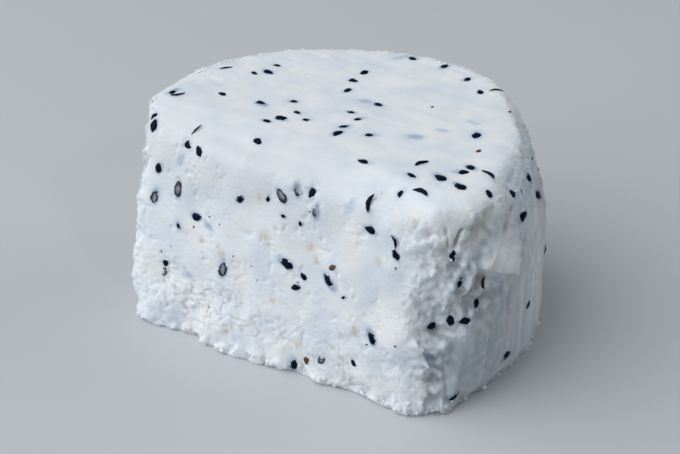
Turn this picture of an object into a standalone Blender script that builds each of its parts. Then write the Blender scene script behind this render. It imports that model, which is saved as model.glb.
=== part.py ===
"""A block of tulum cheese with nigella seeds: a small turned-out wheel, cut across in front of its middle.

Run it with  blender --background --python part.py  or from Blender's text editor. Metres, +Z up.
The block stands on its flat base at Z = 0. The origin is where the wheel's axis meets that base, +X runs
along the cut face and +Y away from it, into the round side.

The cheese and its seeds are one solid: the seeds are half sunk in it, so they are fused to it.
"""

import math
import random

import bmesh
import bpy
from mathutils import Matrix, Vector, noise
from mathutils.bvhtree import BVHTree

MM = 0.001

# The wheel that the block was cut from, in millimetres.
HEIGHT = 54.3
TOP_RADIUS = 48.4
BASE_RADIUS = 51.4
BELLY = 1.8  # how far the side swells past a straight line at half height
SHOULDER = 4.6  # radius of the rounded rim round the top
SKIRT = 6.0  # the wheel is turned this much too deep, so that the base is cut off crisp
# Where it isn't round: degrees round it from +X, height, half width, half height, how far it swells there.
OUT_OF_ROUND = (
    (34.0, 49.0, 16.0, 9.0, -2.5),
    (34.0, 32.0, 16.0, 9.0, 0.9),
    (78.0, 54.0, 15.0, 16.0, 0.6),
    (116.0, 54.0, 22.0, 16.0, -2.0),
    (172.0, 54.0, 20.0, 14.0, 1.4),
    (189.0, 54.0, 8.0, 10.0, 1.0),
    (207.0, 42.0, 10.0, 12.0, -1.6),
    (212.0, 8.0, 10.0, 8.0, 1.0),
    (211.0, -1.0, 5.0, 4.5, -1.0),
)

# The knife's cut: it passes this far in front of the wheel's axis and leans forward towards the base.
CUT_AT_TOP = 18.6
CUT_AT_BASE = 28.6
CUT_TWIST = 1.4  # at the foot the left end stands this much further out, and the right end this much less
CUT_BOW = 2.6  # how far the middle of the face swells out at the top
CUT_HALF_WIDTH = 46.0

# The right-hand corner is worn off along a plane: degrees round from +X, degrees up, distance from origin.
CORNER_PLANE = (-57.0, 8.2, 43.6)
# Edges of the top that are worn round: the way they face, how far the side below leans back, the side's
# distance from the origin, the radius that is left. Planes that touch that radius make it, then softening.
WORN_EDGES = (
    (-90.0, 10.4, 28.1, 11.0),  # the front edge
    (-57.0, 8.2, 43.6, 9.0),  # the top of the corner
    (-14.0, 0.0, 49.6, 8.5),  # the rim beside the corner
    (14.0, 0.0, 48.8, 8.5),  # and on round the right-hand side
    (40.0, 0.0, 48.2, 6.5),
)
WORN_RISES = (22.5, 45.0, 67.5)

# How finely the surface is made, and what it may cost.
TURN_STEPS = 96
VOXEL = 1.4
SOFTENING_PASSES = 9  # rounds the edges that the knife left
BODY_TRIANGLES = 6000

# Relief, in millimetres: how high each kind of unevenness stands, and how wide it is.
LUMP_HEIGHT, LUMP_WIDTH = 0.8, 9.0
CURD_HEIGHT, CURD_WIDTH = 0.95, 4.2
PLEAT_HEIGHT, PLEAT_WIDTH, PLEAT_LENGTH = 0.55, 4.0, 34.0
WAVE_HEIGHT, WAVE_WIDTH = 0.8, 13.0
FOOT_HEIGHT, FOOT_WIDTH, FOOT_RISE = 1.2, 3.2, 7.0
CURD_LINE = 24.0  # below this height the cut face breaks into coarse curd
TOP_HEIGHT, TOP_WIDTH = 0.25, 16.0

# Swellings and hollows of the torn corner, given in the same way.
TORN_PLACES = (
    (-17.0, 45.0, 8.0, 7.0, -1.6),  # the broad hollow under the shoulder
    (-26.0, 40.0, 5.0, 5.0, 0.7),  # the torn crest left of it
    (-9.0, 38.0, 5.0, 4.5, 1.2),  # the slab below it
    (-22.0, 31.0, 4.0, 6.0, 0.8),  # the ridge between the two hollows with seeds
    (-16.0, 29.0, 5.0, 5.0, -1.6),
    (-28.0, 29.0, 4.0, 5.0, -1.0),
    (-29.0, 14.0, 4.5, 5.5, -1.8),  # the recess under the loose flake
    (-35.0, 18.0, 3.0, 4.0, 1.0),  # the loose flake
    (-34.0, 0.0, 5.0, 5.0, 0.6),  # the foot of the corner, and the foot beside it, worn back
    (-14.0, 0.0, 10.0, 4.0, -2.3),
    (4.0, 0.0, 12.0, 4.0, -2.8),
)
# And of the cut face: millimetres along it, height, half width, half height, how far it swells.
CUT_PLACES = (
    (-38.0, 1.0, 3.5, 6.0, 1.2),
    (-28.0, 1.0, 4.0, 6.0, -1.2),
    (-13.0, 1.0, 8.5, 7.0, 2.2),
    (7.0, 1.0, 4.0, 6.0, -1.5),
    (24.0, 0.0, 9.0, 5.0, -1.6),  # a void under the foot
    (31.0, 15.0, 5.0, 8.0, 0.7),
)

# Seeds, in millimetres. A nigella seed is about 3 mm long and half as wide.
SEED_LENGTH = (2.3, 3.3)
SEED_SLENDERNESS = 0.56
SEED_THICKNESS = 0.48
SEED_PROUD = 0.42  # how far a seed stands out of the cheese
SEED_SEGMENTS, SEED_RINGS = 6, 4

# Seeds with a place of their own: along the face, height, length, turn in degrees from level.
CUT_FACE_SEEDS = (
    (-31.2, 49.2, 2.9, 147), (-27.0, 49.0, 2.8, 127), (-39.0, 41.4, 3.0, 63), (-32.1, 38.0, 4.0, 88),
    (-39.8, 33.2, 3.5, 78), (-26.0, 32.1, 3.0, 5), (-12.9, 41.2, 2.4, 40), (-1.0, 45.7, 3.8, 138),
    (3.0, 48.4, 3.4, 105), (7.1, 48.5, 3.0, 100), (9.1, 44.8, 2.8, 85), (1.7, 28.7, 3.8, 172),
    (5.0, 23.4, 2.6, 20), (6.6, 26.8, 2.4, 130), (14.2, 28.3, 3.9, 140), (15.2, 32.2, 2.2, 35),
    (27.6, 17.4, 3.6, 126), (-34.9, 17.3, 2.6, 75), (-35.4, 14.3, 2.6, 80), (-16.7, 21.3, 3.8, 78),
    (23.9, 44.2, 2.7, 167), (22.9, 50.3, 4.6, 93), (31.2, 40.4, 3.0, 118), (30.8, 43.3, 3.2, 117),
    (5.4, 2.4, 3.2, 95), (13.9, 6.9, 2.8, 60), (9.4, 5.1, 2.4, 80), (22.8, 9.0, 1.8, 135),
)  # fmt: skip
# Along the face, depth behind the wheel's axis, length, turn in degrees from +X.
TOP_SEEDS = (
    (-13.2, -14.1, 4.5, -8), (-44.7, -16.2, 2.4, 61), (-46.3, -6.7, 2.8, 87), (-43.8, -7.6, 3.8, 53),
    (-43.2, 11.6, 3.4, 50), (-35.6, 13.8, 1.9, -4), (-34.8, -0.4, 3.2, -8), (-32.9, 16.2, 3.0, -8),
    (-33.3, 20.7, 3.0, 8), (-23.7, 0.5, 3.8, -2), (-14.6, -3.2, 4.0, -4), (-16.6, -6.4, 2.8, 8),
    (-17.5, 6.2, 2.0, 30), (-13.1, 1.5, 2.4, -14), (-9.1, -0.4, 2.2, 34), (1.3, -1.7, 3.4, 80),
    (0.7, 1.9, 2.8, 55), (-12.1, 30.1, 2.8, 70), (-11.8, 24.5, 3.2, -4), (-9.9, 19.4, 2.4, 72),
    (1.2, 16.7, 3.2, -8), (-2.0, 9.2, 2.4, 0), (1.3, 6.9, 2.6, 56), (8.2, 1.6, 1.9, 44),
    (14.4, -10.0, 2.9, -3), (26.2, -3.4, 3.8, 66), (27.5, -9.8, 3.0, -14), (28.3, -15.7, 2.5, 86),
    (32.7, -13.8, 4.2, -4), (33.6, -6.6, 4.0, 152), (39.3, -7.6, 3.3, 165), (36.7, 1.5, 3.0, 171),
    (36.8, -1.1, 3.4, 41), (42.2, 0.9, 4.4, -20), (45.4, -4.8, 2.4, 171), (29.7, 16.2, 3.4, 115),
    (34.2, 9.7, 2.2, 90), (-6.1, 44.2, 3.8, -1), (3.3, 44.8, 2.4, 71), (12.2, 41.5, 2.4, 69),
    (18.6, 37.1, 2.6, 119), (-30.8, -16.5, 3.6, 66), (21.3, 40.1, 3.6, 48), (-43.1, -18.6, 3.6, 106),
)  # fmt: skip
# Degrees round the wheel from +X, height, length, turn in degrees from level.
RIND_SEEDS = (
    (2.9, 49.9, 3.0, 104), (7.0, 49.1, 2.8, 84), (4.6, 44.9, 3.6, 39), (15.4, 49.5, 2.2, 73),
    (-21.0, 41.2, 2.8, 80), (-20.3, 34.0, 4.2, 54), (-13.7, 33.6, 3.4, 87), (-14.4, 27.6, 3.8, 51),
    (-19.1, 24.7, 3.2, 169), (-22.4, 25.1, 3.0, 82), (-26.7, 23.6, 3.3, 79), (8.6, 18.0, 3.0, 60),
    (-3.4, 8.8, 3.8, 170), (-22.3, 4.2, 3.0, 30),
)  # fmt: skip

# The rest of the round side has scattered seeds. A try that lands too near another seed is dropped.
SCATTER_SEED = 11
SCATTER_TRIES = 330
SCATTER_ANGLES = (22.0, 208.0)  # degrees round the wheel from +X
SCATTER_HEIGHTS = (4.0, 50.0)
CUT_EDGE_ANGLE = 203.0  # past this the round side gives way to the cut face
SEED_SPACING = 8.4  # the least distance between two of them

CHEESE_COLOUR = (0.80, 0.83, 0.86, 1.0)
CHEESE_ROUGHNESS = 0.55


def clear_scene():
    for old in list(bpy.data.objects):
        bpy.data.objects.remove(old, do_unlink=True)


def smooth_step(low, high, value):
    """0 below low, 1 above high and an even curve between, also where low is above high."""
    t = min(1.0, max(0.0, (value - low) / (high - low)))
    return t * t * (3 - 2 * t)


def side_radius(z):
    """The wheel's radius at a height, in millimetres, below the shoulder."""
    share = z / HEIGHT
    straight = BASE_RADIUS + (TOP_RADIUS - BASE_RADIUS) * share
    return straight + BELLY * 4 * max(0.0, share * (1 - share))


def wheel_profile():
    """Half the wheel's section, from the axis over the shoulder and down the side, as (radius, height)."""
    points = [(0.0, HEIGHT)]
    shoulder_steps, side_steps = 6, 12
    low = HEIGHT - SHOULDER
    for step in range(shoulder_steps + 1):
        angle = math.radians(90 * (1 - step / shoulder_steps))
        points.append((side_radius(low) - SHOULDER * (1 - math.cos(angle)), low + SHOULDER * math.sin(angle)))
    for step in range(1, side_steps + 1):
        z = low - (low + SKIRT) * step / side_steps
        points.append((side_radius(z), z))
    points.append((0.0, -SKIRT))
    return points


def evaluated_copy(obj, name):
    """A new object whose mesh is obj's with its modifiers applied. The old object is removed."""
    graph = bpy.context.evaluated_depsgraph_get()
    mesh = bpy.data.meshes.new_from_object(obj.evaluated_get(graph))
    made = bpy.data.objects.new(name, mesh)
    for collection in obj.users_collection:
        collection.objects.link(made)
    bpy.data.objects.remove(obj, do_unlink=True)
    return made


def swelling(places, angle, z):
    """The sum of soft swellings on the wheel's side, in millimetres, at an angle in degrees and a height."""
    total = 0.0
    for place_angle, place_z, half_width, half_height, out in places:
        turn = (angle - place_angle + 180) % 360 - 180
        total += out * hump(math.radians(turn) * BASE_RADIUS / half_width, (z - place_z) / half_height)
    return total


def hump(across, up):
    """A soft round hump, 1 at its middle and near nothing two half widths away."""
    return math.exp(-(across**2 + up**2))


def make_uneven(obj):
    """Swells and draws in the round wheel, most at its side and not at its axis."""
    for vertex in obj.data.vertices:
        flat = Vector((vertex.co.x, vertex.co.y, 0.0))
        angle = math.degrees(math.atan2(flat.y, flat.x))
        vertex.co += flat / BASE_RADIUS * swelling(OUT_OF_ROUND, angle, vertex.co.z / MM)


def turn_wheel(collection):
    """The whole wheel, turned from its profile."""
    profile = [(radius * MM, 0.0, z * MM) for radius, z in wheel_profile()]
    mesh = bpy.data.meshes.new("wheel")
    mesh.from_pydata(profile, [(i, i + 1) for i in range(len(profile) - 1)], [])
    wheel = bpy.data.objects.new("wheel", mesh)
    collection.objects.link(wheel)
    screw = wheel.modifiers.new("Turn", "SCREW")
    screw.axis = "Z"
    screw.steps = screw.render_steps = TURN_STEPS
    screw.use_merge_vertices = True
    screw.merge_threshold = 0.00005
    wheel = evaluated_copy(wheel, "wheel")
    make_uneven(wheel)
    return wheel


def direction(angle, rise):
    """A unit vector, from degrees round from +X and degrees up."""
    turn, up = math.radians(angle), math.radians(rise)
    return Vector((math.cos(turn) * math.cos(up), math.sin(turn) * math.cos(up), math.sin(up)))


def worn_planes():
    """Every plane that wears an edge off, as (degrees round, degrees up, distance from the origin)."""
    planes = [CORNER_PLANE]
    for angle, lean, distance, radius in WORN_EDGES:
        middle_z = HEIGHT - radius
        tilt = math.radians(lean)
        middle = (distance - radius - math.sin(tilt) * middle_z) / math.cos(tilt)
        for rise in WORN_RISES:
            up = math.radians(rise)
            planes.append((angle, rise, middle * math.cos(up) + middle_z * math.sin(up) + radius))
    return planes


def knife_normal():
    """The cut face's outward normal: it looks forward and, as the face leans, a little up."""
    return Vector((0.0, -HEIGHT, CUT_AT_BASE - CUT_AT_TOP)).normalized()


def slice_off(obj, point, normal):
    """Cuts away what lies on the normal's side of a plane and closes the cut with one face."""
    mesh = bmesh.new()
    mesh.from_mesh(obj.data)
    bmesh.ops.bisect_plane(
        mesh,
        geom=[*mesh.verts, *mesh.edges, *mesh.faces],
        dist=1e-7,
        plane_co=point,
        plane_no=normal,
        clear_outer=True,
    )
    rim = [edge for edge in mesh.edges if edge.is_boundary]
    bmesh.ops.holes_fill(mesh, edges=rim, sides=0)
    bmesh.ops.recalc_face_normals(mesh, faces=mesh.faces)
    mesh.to_mesh(obj.data)
    mesh.free()


def even_grid(obj):
    """Remakes the surface as an even grid of faces and softens the knife's edges."""
    remesh = obj.modifiers.new("Even grid", "REMESH")
    remesh.mode = "VOXEL"
    remesh.voxel_size = VOXEL * MM
    soften = obj.modifiers.new("Soften", "SMOOTH")
    soften.factor = 0.5
    soften.iterations = SOFTENING_PASSES
    return evaluated_copy(obj, "block")


def relief(point, normal):
    """How far the surface stands out from the plain cut wheel at a point, all in millimetres."""
    on_top = smooth_step(0.45, 0.85, normal.z)
    on_cut = smooth_step(0.55, 0.9, normal.dot(knife_normal())) * (1 - on_top)
    on_rind = max(0.0, 1 - on_top - on_cut)
    angle = math.atan2(point.y, point.x)

    coarse = smooth_step(CURD_LINE + 8, CURD_LINE - 14, point.z)
    nearest = noise.voronoi(point / CURD_WIDTH)[0][0]
    curd = CURD_HEIGHT * (0.3 + 0.7 * coarse) * (0.55 - nearest)
    lumps = LUMP_HEIGHT * noise.noise(point / LUMP_WIDTH)
    along, up = point.x / CUT_HALF_WIDTH, point.z / HEIGHT
    bow = CUT_BOW * up * max(0.0, 1 - along**2) - CUT_TWIST * along * (1 - up)

    stretched = Vector((angle * BASE_RADIUS / PLEAT_WIDTH, 0.0, point.z / PLEAT_LENGTH))
    pleats = PLEAT_HEIGHT * noise.noise(stretched)
    waves = WAVE_HEIGHT * noise.noise(point / WAVE_WIDTH + Vector((7.0, 0.0, 0.0)))

    humps = 0.0
    for place_x, place_z, half_width, half_height, out in CUT_PLACES:
        humps += out * hump((point.x - place_x) / half_width, (point.z - place_z) / half_height)

    foot = FOOT_HEIGHT * noise.noise(point / FOOT_WIDTH) * smooth_step(FOOT_RISE, 0.0, point.z)
    level = TOP_HEIGHT * noise.noise(point / TOP_WIDTH)
    torn = swelling(TORN_PLACES, math.degrees(angle), point.z) * (1 - on_top)
    return (
        on_cut * (curd + lumps + bow + humps)
        + on_rind * (pleats + waves)
        + on_top * level
        + (on_cut + 0.6 * on_rind) * foot
        + torn
    )


def roughen(obj):
    """Moves each vertex along its normal by the relief there."""
    normals = [vertex.normal.copy() for vertex in obj.data.vertices]
    for vertex, normal in zip(obj.data.vertices, normals):
        if vertex.co.z > -0.5 * SKIRT * MM:
            vertex.co += normal * (relief(vertex.co / MM, normal) * MM)
    obj.data.update()


def thin_out(obj):
    """Drops the faces that flat stretches don't need."""
    triangles = 2 * len(obj.data.polygons)
    decimate = obj.modifiers.new("Thin out", "DECIMATE")
    decimate.ratio = BODY_TRIANGLES / triangles
    return evaluated_copy(obj, "tulum_cheese")


def make_block(collection):
    """The cheese without its seeds, and a tree of its plain surface for the seeds' normals."""
    block = turn_wheel(collection)
    slice_off(block, Vector((0.0, -CUT_AT_BASE * MM, 0.0)), knife_normal())
    for angle, rise, distance in worn_planes():
        normal = direction(angle, rise)
        slice_off(block, normal * (distance * MM), normal)
    block = even_grid(block)
    plain = BVHTree.FromObject(block, bpy.context.evaluated_depsgraph_get())
    roughen(block)
    block = thin_out(block)
    slice_off(block, Vector((0.0, 0.0, 0.0)), Vector((0.0, 0.0, -1.0)))
    return block, plain


def ray_to(zone, first, second):
    """Where a seed's ray starts and which way it runs, from its two coordinates in its zone, in mm."""
    far = 100.0
    if zone == "cut":
        return Vector((first, -far, second)), Vector((0.0, 1.0, 0.0))
    if zone == "top":
        return Vector((first, second, far)), Vector((0.0, 0.0, -1.0))
    inward = -Vector((math.cos(math.radians(first)), math.sin(math.radians(first)), 0.0))
    return Vector((0.0, 0.0, second)) - inward * far, inward


def seed_places():
    """Every seed as (zone, first, second, length, turn): first those with a place of their own."""
    places = [("cut", *seed) for seed in CUT_FACE_SEEDS]
    places += [("top", *seed) for seed in TOP_SEEDS]
    places += [("rind", *seed) for seed in RIND_SEEDS]
    draw = random.Random(SCATTER_SEED)
    taken = []
    for _ in range(SCATTER_TRIES):
        angle, z = draw.uniform(*SCATTER_ANGLES), draw.uniform(*SCATTER_HEIGHTS)
        length, turn = draw.uniform(*SEED_LENGTH), draw.uniform(0, 180)
        spot = Vector((math.radians(angle) * BASE_RADIUS, z))
        if all((other - spot).length > SEED_SPACING for other in taken):
            taken.append(spot)
            if angle < CUT_EDGE_ANGLE:
                places.append(("rind", angle, z, length, turn))
    return places


def add_seed(place, rough, plain, collection):
    """One seed, lying on the surface with its long side turned as its place says."""
    zone, first, second, length, turn = place
    start, direction = ray_to(zone, first, second)
    spot = rough.ray_cast(start * MM, direction)[0]
    facing = plain.ray_cast(start * MM, direction)[1]
    level = Vector((0.0, 0.0, 1.0)).cross(facing) if zone != "top" else Vector((1.0, 0.0, 0.0))
    level = (level - facing * level.dot(facing)).normalized()
    along = Matrix.Rotation(math.radians(turn), 3, facing) @ level
    across = facing.cross(along)
    half = Vector((length, length * SEED_SLENDERNESS, length * SEED_THICKNESS)) * (MM / 2)
    centre = spot - facing * (half.z - SEED_PROUD * MM)
    turned = Matrix((along, across, facing)).transposed().to_4x4()
    matrix = Matrix.Translation(centre) @ turned @ Matrix.Diagonal((*half, 1.0))

    mesh = bpy.data.meshes.new("seed")
    shape = bmesh.new()
    # The sphere's poles lie at the seed's two ends.
    ends_along = Matrix.Rotation(math.radians(90), 4, "Y")
    bmesh.ops.create_uvsphere(
        shape, u_segments=SEED_SEGMENTS, v_segments=SEED_RINGS, radius=1.0, matrix=matrix @ ends_along
    )
    bmesh.ops.recalc_face_normals(shape, faces=shape.faces)
    shape.to_mesh(mesh)
    shape.free()
    seed = bpy.data.objects.new("seed", mesh)
    collection.objects.link(seed)


def fuse_seeds(block, plain):
    """Joins every seed to the cheese by one union."""
    seeds = bpy.data.collections.new("seeds")
    bpy.context.scene.collection.children.link(seeds)
    rough = BVHTree.FromObject(block, bpy.context.evaluated_depsgraph_get())
    for place in seed_places():
        add_seed(place, rough, plain, seeds)
    union = block.modifiers.new("Fuse seeds", "BOOLEAN")
    union.operation = "UNION"
    union.operand_type = "COLLECTION"
    union.collection = seeds
    union.solver = "EXACT"
    fused = evaluated_copy(block, "tulum_cheese")
    for seed in list(seeds.objects):
        bpy.data.objects.remove(seed, do_unlink=True)
    bpy.data.collections.remove(seeds)
    return fused


def rank(point):
    """One number for a point, which hardly any two points share."""
    return point.x + 17.31 * point.y + 293.7 * point.z


def settle_order(obj):
    """Puts points and faces in one fixed order, because the union may leave them in any."""
    mesh = bmesh.new()
    mesh.from_mesh(obj.data)
    mesh.verts.sort(key=lambda vertex: rank(vertex.co))
    mesh.faces.sort(key=lambda face: rank(face.calc_center_median()))
    mesh.to_mesh(obj.data)
    mesh.free()


def cheese_material():
    material = bpy.data.materials.new("fresh_white_cheese")
    material.use_nodes = True
    shader = material.node_tree.nodes["Principled BSDF"]
    shader.inputs["Base Color"].default_value = CHEESE_COLOUR
    shader.inputs["Roughness"].default_value = CHEESE_ROUGHNESS
    shader.inputs["Metallic"].default_value = 0.0
    return material


def main():
    clear_scene()
    collection = bpy.data.collections.new("tulum_cheese_block")
    bpy.context.scene.collection.children.link(collection)
    block, plain = make_block(collection)
    cheese = fuse_seeds(block, plain)
    settle_order(cheese)
    cheese.name = "tulum_cheese"
    cheese.data.materials.clear()
    cheese.data.materials.append(cheese_material())
    cheese.data.shade_smooth()
    cheese.data.set_sharp_from_angle(angle=math.radians(40))


main()
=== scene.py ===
"""A block of white tulum cheese with nigella seeds: the looks. Metres, +Z up, the block stands at Z = 0."""

import math
import random

import bmesh
import bpy
import numpy as np
from mathutils import Matrix, Vector, noise
from mathutils.bvhtree import BVHTree


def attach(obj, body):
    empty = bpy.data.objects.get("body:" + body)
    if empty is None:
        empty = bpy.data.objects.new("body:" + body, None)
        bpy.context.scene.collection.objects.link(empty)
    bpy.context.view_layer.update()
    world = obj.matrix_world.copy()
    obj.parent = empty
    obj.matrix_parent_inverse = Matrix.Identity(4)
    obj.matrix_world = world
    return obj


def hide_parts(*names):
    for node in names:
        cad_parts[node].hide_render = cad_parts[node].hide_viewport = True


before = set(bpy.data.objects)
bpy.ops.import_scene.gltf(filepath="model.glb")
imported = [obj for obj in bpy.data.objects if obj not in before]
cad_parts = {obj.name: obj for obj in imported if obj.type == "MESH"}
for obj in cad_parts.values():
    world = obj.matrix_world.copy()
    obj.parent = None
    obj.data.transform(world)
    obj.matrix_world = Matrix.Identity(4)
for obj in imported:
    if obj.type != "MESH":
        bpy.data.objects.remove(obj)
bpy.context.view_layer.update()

bpy.ops.object.select_all(action="DESELECT")

MM = 0.001

# -------- sizes, in millimetres
HEIGHT = 54.3
TOP_RADIUS = 48.4
BASE_RADIUS = 51.4
BELLY = 1.8
SHOULDER = 4.6
SKIRT = 6.0  # made this much too deep, then cut off flat at the base
OUT_OF_ROUND = (  # degrees round it from +X, height, half width, half height, how far it swells
    (34, 49, 16, 9, -2.5),
    (34, 32, 16, 9, 0.9),
    (78, 54, 15, 16, 0.6),
    (116, 54, 22, 16, -2),
    (172, 54, 20, 14, 1.4),
    (189, 54, 8, 10, 1),
    (207, 42, 10, 12, -1.6),
    (212, 8, 10, 8, 1),
    (211, -1, 5, 4.5, -1),
)

CUT_AT_TOP = 18.6
CUT_AT_BASE = 28.6
KNIFE_NORMAL = Vector((0.0, -HEIGHT, CUT_AT_BASE - CUT_AT_TOP)).normalized()
CUT_TWIST = 1.4
CUT_BOW = 2.6
CUT_HALF_WIDTH = 46.0
# The plane that wears off the right-hand corner: degrees round from +X, degrees up, distance from the origin.
CORNER_PLANE = (-57.0, 8.2, 43.6)
# Edges of the top worn round: the way they face, the lean and distance of the side below, the radius.
WORN_EDGES = (
    (-90, 10.4, 28.1, 11),
    (-57, 8.2, 43.6, 9),
    (-14, 0, 49.6, 8.5),
    (14, 0, 48.8, 8.5),
    (40, 0, 48.2, 6.5),
)
WORN_RISES = (22.5, 45.0, 67.5)

CURD_SEED = 8  # settles the offsets of noise_vector, so that every run breaks the curd in the same places
WHEEL_SIDES, WHEEL_CUTS, SHOULDER_STEPS = 128, 17, 6
GRID = 1.5  # the even grid, which is then split finer, most on the faces that were cut and torn
FRONT_CUTS, OTHER_CUTS = 3, 1
# The finest part: the corner from this X on and back to this Y, further back above the shoulder's height, and
# the crumbly rim from this height up, as far as this X.
CORNER_FROM, CORNER_DEPTH, SHOULDER_FROM, SHOULDER_DEPTH = 30, 16, 40, 26
RIM_FROM, RIM_END = 46, 25
# There a face looks forward, right and not up, or slants as the rim does: all as parts of its normal.
FACES_FRONT, FACES_RIGHT, FACES_UP, RIM_SLANT = -0.5, 0.2, 0.84, (0.6, 0.95)
SOFTENING_PASSES = 10

LUMP_HEIGHT, LUMP_WIDTH = 0.8, 9.0
PLEAT_HEIGHT, PLEAT_WIDTH, PLEAT_LENGTH = 0.55, 4.0, 34.0
WAVE_HEIGHT, WAVE_WIDTH = 0.8, 13.0
FOOT_HEIGHT, FOOT_WIDTH, FOOT_RISE = 1.2, 3.2, 7.0
CURD_LINE = 24.0
TOP_HEIGHT, TOP_WIDTH = 0.25, 16.0
GRIT_WIDTH = 0.9
LOOSE_FOOT = 4.5  # up to here the foot is loose grains
# Between these the grainy rim sets in backwards, as a surface turns up, and out again where it faces up.
RIM_BACK, RIM_BEGINS, RIM_ENDS = (-10.0, 0.0), (0.2, 0.5), (0.92, 0.78)
LEFT_EDGE_X, LEFT_EDGE_Y = (-41.0, -44.5), (-12.0, -17.0)  # and the crumbled left edge sets in
LEFT_BELOW = 2.0  # cheese left under the base until the fine relief is done
# How nearly a surface faces up where the top begins and where it is all top, as a cosine, and how nearly it
# faces as the knife did for the cut face.
TOP_FACING, CUT_FACING = (0.45, 0.85), (0.55, 0.9)
# The long crease on the corner: degrees round at the base, degrees more for each mm up, where it fades out.
CREASE_ANGLE, CREASE_LEAN, CREASE_TOP = -25.1, 0.08, (21.0, 18.0)
# The torn corner, in mm round from +X: where it begins, is full, is full still, and ends.
CORNER_SPAN = (-32.5, -28.0, 4.0, 14.0)
TORN_PLACES = (
    (-17, 45, 8, 7, -1.6),  # the broad hollow under the shoulder
    (-26, 40, 5, 5, 0.7),  # the torn crest left of it
    (-9, 38, 5, 4.5, 1.2),  # the slab below it
    (-22, 31, 4, 6, 0.8),  # the ridge between the two hollows with seeds
    (-16, 29, 5, 5, -1.6),
    (-28, 29, 4, 5, -1),
    (-29, 14, 4.5, 5.5, -1.8),  # the recess under the loose flake
    (-35, 18, 3, 4, 1),  # the loose flake
    (-34, 0, 5, 5, 0.6),  # the foot of the corner, and the foot beside it, worn back
    (-14, 0, 10, 4, -2.3),
    (4, 0, 12, 4, -2.8),
    (-19, 0, 4, 4, -0.8),
    (-20, 9, 3.2, 11, -1.2),  # the side falls away to the right of the long crease
)
# Small hollows and swellings of the torn corner, in the same way.
TORN_PITS = (
    (-26.5, 46.4, 2.2, 1.6, -0.8),
    (-28.6, 41.7, 1.8, 2.6, -0.8),
    (-23.1, 42.9, 1.8, 1.8, -0.7),
    (-20, 36, 3.4, 3, -0.7),
    (-19.6, 30.5, 2.4, 3, -1.1),
    (-14.6, 35, 1.6, 2.6, -1),
    (-15.2, 28.6, 1.8, 2.2, -0.9),
    (-17, 37.6, 1.2, 1.4, 0.8),
    (-25.5, 27, 2.2, 2, -0.5),
    (-26, 22, 3.6, 1.6, -0.9),
    (-26.3, 9, 2.6, 2.4, -0.8),
    (-28.5, 3.5, 2.6, 2.2, -0.6),
    (6, 43, 2.6, 4, 0.5),
    (3, 34, 3.4, 3.4, 0.4),
)
# Ledges where the cheese tore: two ends, each degrees round and height, how far the side to the left of the
# way from the first to the second stands out, over what width that fades, how ragged the edge is.
LEDGES = (
    (-14, 37.6, -2.6, 32.4, 1.2, 6, 0.25),  # the lower edge of the bright slab
    (-8.9, 42, -14, 38, 0.35, 4, 0.5),  # its left edge
    (-2.8, 32.6, 1, 41.4, 0.6, 4, 0.3),  # and its right edge
    (-23.5, 19.4, -29.5, 19, 0.9, 6, 0.3),  # the top of the small slab
    (-25, 1, -23.5, 19.6, 0.8, 5, 0.1),  # the long crease at its right
    (-29.6, 10, -28.2, 14.5, 1.5, 3.4, 1.2),  # the ragged flake
    (-28.2, 14.5, -31.6, 20, 1.5, 3.4, 1.2),
    (-30.5, 2, -28.6, 8, 0.8, 3, 0.8),
    (-4.2, 42.4, 2.2, 47.6, -0.7, 4, 0.3),  # the fold under the shoulder
    (-22, 46.4, -30.4, 44.6, 0.8, 3, 0.9),  # the crumbly crest, with a crease under it
    (-17.4, 46.8, -19.9, 43.4, 0.7, 2.4, 0.6),
    (-31, 33, -24.5, 38.5, 0.5, 3, 0.7),
    (9, 31, 10.5, 44, 0.35, 4, 0.4),
)
# Ridges and furrows: two ends, half width, how far they stand out.
RIDGES = (
    (-7, 51.4, -18.6, 43.2, 2.6, -1.1),  # the smooth furrow across the shoulder
    (-18, 40, -22.4, 33, 0.7, 0.9),  # the ridge between the two hollows
    (-21.8, 47.6, -21.6, 43.4, 0.5, -0.7),  # a wet split across the crest
    (-17.6, 47.2, -20.2, 43, 0.5, -0.8),
    (-16.4, 39, -18.8, 31, 0.5, 0.7),
    (-14, 31.6, -17.4, 26, 0.6, 0.5),
    (-21.6, 32, -24.6, 26.5, 0.6, 0.4),
    (-11, 27, -12.5, 8, 0.5, -0.25),
    (-4, 28, -5, 10, 0.6, -0.3),
    (1, 27, 1.5, 8, 0.6, 0.25),
    (6.5, 30, 6, 6, 0.5, -0.3),
)
# Where the torn corner is crumbly, and where it is wet and greyer, each with a strength up to 1; the grey is
# partly painted shade, in the hollows and on the lower rind.
CRUMBLY_PLACES = (
    (-33, 43, 6, 4, 0.35),
    (-25.5, 41, 6, 4.6, 0.8),
    (-23, 31, 7, 8, 0.8),
    (-33, 24, 5, 8, 0.5),
    (-31, 8, 6, 9, 0.8),
    (-8, 37, 5, 5, 0.25),
)
WET_AND_SHADE_PLACES = (
    (-18, 30, 6, 6, 1),
    (-19.5, 40, 5, 3, 0.9),
    (-13, 45.5, 6, 3.5, 0.5),
    (-27.5, 27, 4, 4, 0.7),
    (-26, 21.5, 4, 1.6, 0.8),
    (-26.6, 14, 2.8, 5, 0.9),
    (-28, 7, 2.2, 4, 0.8),
    (-14.8, 29.5, 2.6, 4, 0.8),
    # These two darken the lower rind as painted shade, and make it a little glossier.
    (-14, 13, 9, 10, 0.65),
    (-7, 26, 7, 6, 0.55),
    (-26, 11, 4, 8, 0.35),
)
# Where the round side is as white as the inside, because its skin came off, and at the far right edge, where
# it is whitened as a painted highlight of light from the right and back.
PALE_PLACES = (
    (-7, 38, 7, 4.6, 1),
    (-33, 40, 5, 8, 0.8),
    # the far right edge: a painted highlight
    (12, 30, 5, 16, 0.9),
)
RIND_TOP = (HEIGHT - 2, HEIGHT - 11)  # the skin's greyer colour, partly painted shade, fades in below the rim
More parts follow.
